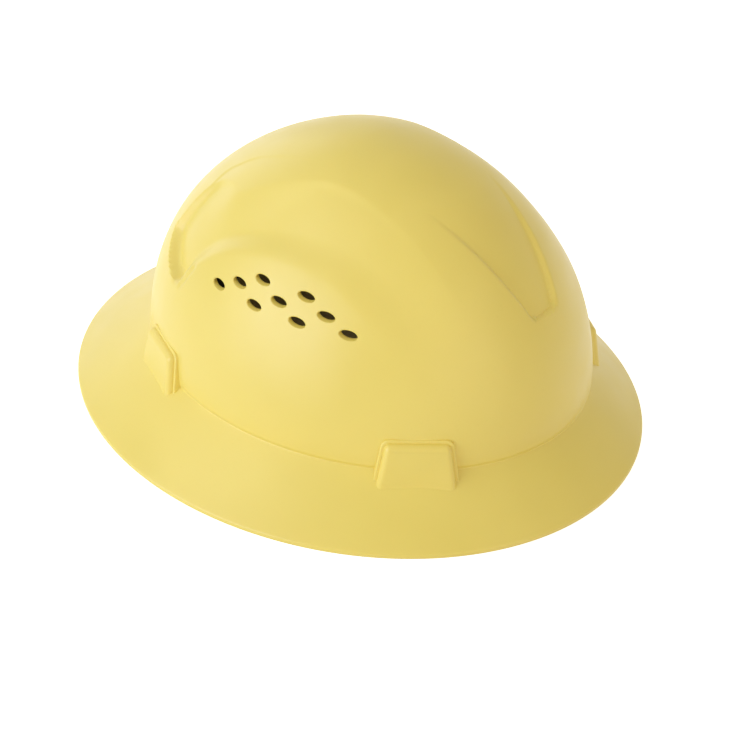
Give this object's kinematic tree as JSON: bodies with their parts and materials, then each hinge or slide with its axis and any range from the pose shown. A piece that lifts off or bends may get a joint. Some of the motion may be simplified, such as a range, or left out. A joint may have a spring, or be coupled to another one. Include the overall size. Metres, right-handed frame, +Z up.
{
  "type": "full brim hard hat",
  "caption": "Vented full brim safety helmet with a domed crown, key pockets and a four point suspension that a nape dial tightens.",
  "frame": {"origin": "centre of the plane that the brim's flat edge rests on, at the middle of the whole part's box", "axes": "+Z up, -Y towards the wearer's front, +X towards the wearer's left"},
  "size_m": [0.276, 0.32, 0.15],
  "materials": {
    "shell_plastic": "moulded polyethylene, satin gloss, pale butter yellow",
    "suspension_plastic": "moulded nylon, fine texture",
    "band_plastic": "moulded polyethylene strip, satin",
    "webbing": "woven polyester webbing",
    "brow_fabric": "knitted sweatband cloth over foam",
    "pad_fabric": "cloth over foam",
    "case_plastic": "moulded shell, fine texture",
    "gear_plastic": "natural acetal",
    "knob_plastic": "moulded, satin",
    "grip_rubber": "soft moulded grip",
    "screw_steel": "zinc plated"
  },
  "bodies": {
    "root": {"shell": "shell_plastic", "rear_left_key": "suspension_plastic", "rear_right_key": "suspension_plastic", "front_left_key": "suspension_plastic", "front_right_key": "suspension_plastic", "left_crown_strap": "webbing", "right_crown_strap": "webbing", "headband": "band_plastic", "brow_pad": "brow_fabric", "left_arm_stud": "suspension_plastic", "right_arm_stud": "suspension_plastic"},
    "nape": {"ratchet_housing": "case_plastic", "ratchet_cover": "case_plastic", "housing_screws": "screw_steel", "nape_pad": "pad_fabric"},
    "dial": {"adjuster_knob": "knob_plastic", "knob_grip": "grip_rubber", "knob_screw": "screw_steel", "ratchet_pinion": "gear_plastic", "click_spring": "gear_plastic"},
    "left_arm": {"left_arm": "band_plastic"},
    "right_arm": {"right_arm": "band_plastic"}
  },
  "joints": [
    {"name": "nape_swing", "type": "hinge", "parent": "root", "child": "nape", "pos_m": [0, 0.018, 0.038], "axis": [1, 0, 0], "range_deg": [-10, 10]},
    {"name": "dial_turn", "type": "hinge", "parent": "nape", "child": "dial", "pos_m": [0, 0.112, 0.02], "axis": [0, -1, 0], "range_deg": [-382, 382], "deforming": ["click_spring"]},
    {"name": "left_arm_travel", "type": "hinge", "parent": "nape", "child": "left_arm", "pos_m": [0, 0.018, 0.02], "axis": [0, 0, 1], "range_deg": [-20.5, 20.5], "deforming": ["left_arm"]},
    {"name": "right_arm_travel", "type": "hinge", "parent": "nape", "child": "right_arm", "pos_m": [0, 0.018, 0.02], "axis": [0, 0, 1], "range_deg": [-20.5, 20.5], "deforming": ["right_arm"]}
  ],
  "couplings": [
    {"joint": "left_arm_travel", "follows": "dial_turn", "ratio": 0.051933},
    {"joint": "right_arm_travel", "follows": "dial_turn", "ratio": -0.050905}
  ]
}
